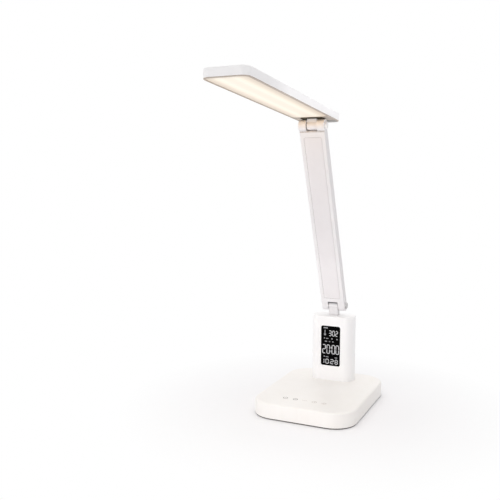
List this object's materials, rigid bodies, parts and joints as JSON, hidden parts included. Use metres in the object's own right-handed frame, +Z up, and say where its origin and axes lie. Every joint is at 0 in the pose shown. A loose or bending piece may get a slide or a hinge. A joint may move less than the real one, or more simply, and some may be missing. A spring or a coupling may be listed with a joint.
{
  "type": "table lamp",
  "caption": "Folding LED table lamp: weighted base with touch keys, clock column with a display, hinged flat arm and a tilting, swivelling slim light head.",
  "frame": {"origin": "middle of the foot pad's lower face, where the lamp rests on the table", "axes": "+Z up, +X to the lamp's right seen from its display side, -Y forward where the head points"},
  "size_m": [0.13, 0.3554, 0.3903],
  "materials": {
    "base_white": "satin moulded",
    "column_white": "satin moulded",
    "arm_white": "satin moulded",
    "head_white": "satin moulded",
    "pad_rubber": "matt",
    "weight_iron": "rough cast",
    "screw_steel": "plated",
    "bolt_steel": "satin plated",
    "spring_steel": "plated",
    "washer_nylon": "plain",
    "board_green": "lacquered",
    "contact_brass": "plated",
    "black_plastic": "plain",
    "display_black": "polished",
    "backlight_white": "plain",
    "cell_steel": "bright",
    "diffuser_warm": "frosted",
    "led_yellow": "plain",
    "lead_grey": "plain"
  },
  "bodies": {
    "base": {"foot_pad": "pad_rubber", "base_bottom": "black_plastic", "base_weight": "weight_iron", "base_shell": "base_white", "base_screws": "screw_steel", "touch_board": "board_green", "touch_pads": "contact_brass", "main_board": "board_green", "main_board_screws": "screw_steel", "power_inlet": "black_plastic", "inlet_contact": "contact_brass", "column_shell": "column_white", "column_screws": "screw_steel", "column_back_cover": "column_white", "back_cover_screws": "screw_steel", "display_lens": "display_black", "lcd_panel": "black_plastic", "lcd_backlight": "backlight_white", "clock_board": "board_green", "clock_board_screws": "screw_steel", "tact_switches": "black_plastic", "cell_holder": "black_plastic", "coin_cell": "cell_steel", "column_knuckle": "arm_white", "knuckle_screws": "screw_steel"},
    "button_mode": {"button_mode": "arm_white"},
    "button_up": {"button_up": "arm_white"},
    "button_down": {"button_down": "arm_white"},
    "arm": {"arm_frame": "arm_white", "arm_front_panel": "arm_white", "arm_back_cover": "arm_white", "arm_cover_screws": "screw_steel", "arm_stop_pad": "pad_rubber", "arm_spine": "spring_steel", "arm_lead": "lead_grey", "lower_hinge_bolt": "bolt_steel", "lower_hinge_nut": "screw_steel", "lower_hinge_plug": "arm_white", "lower_friction_washers": "washer_nylon", "upper_hinge_bolt": "bolt_steel", "upper_hinge_nut": "screw_steel", "upper_hinge_plug": "arm_white", "upper_friction_washers": "washer_nylon"},
    "swivel": {"swivel_hub": "arm_white", "swivel_plate": "black_plastic", "swivel_disc": "black_plastic", "swivel_friction_ring": "washer_nylon", "swivel_spring_washer": "spring_steel", "swivel_nut": "screw_steel"},
    "head": {"head_cover": "head_white", "head_bezel": "head_white", "bezel_screws": "screw_steel", "tail_plate": "black_plastic", "diffuser": "diffuser_warm", "reflector": "backlight_white", "led_board": "backlight_white", "leds": "led_yellow", "swivel_bracket": "spring_steel", "bracket_screws": "screw_steel"}
  },
  "joints": [
    {"name": "arm_fold", "type": "hinge", "parent": "base", "child": "arm", "pos_m": [0, 0.053, 0.1207], "axis": [1, 0, 0], "range_deg": [-36.7, 68.3]},
    {"name": "head_tilt", "type": "hinge", "parent": "arm", "child": "swivel", "pos_m": [0, -0.03981, 0.35391], "axis": [1, 0, 0], "range_deg": [-60, 115]},
    {"name": "head_swivel", "type": "hinge", "parent": "swivel", "child": "head", "pos_m": [0, -0.03981, 0.35391], "axis": [0, 0.0785, 0.9969], "range_deg": [-90, 90]},
    {"name": "button_mode_press", "type": "slide", "parent": "base", "child": "button_mode", "axis": [0, -1, 0], "range_m": [0, 0.0007], "stiffness_N_per_m": 400},
    {"name": "button_up_press", "type": "slide", "parent": "base", "child": "button_up", "axis": [0, -1, 0], "range_m": [0, 0.0007], "stiffness_N_per_m": 400},
    {"name": "button_down_press", "type": "slide", "parent": "base", "child": "button_down", "axis": [0, -1, 0], "range_m": [0, 0.0007], "stiffness_N_per_m": 400}
  ]
}
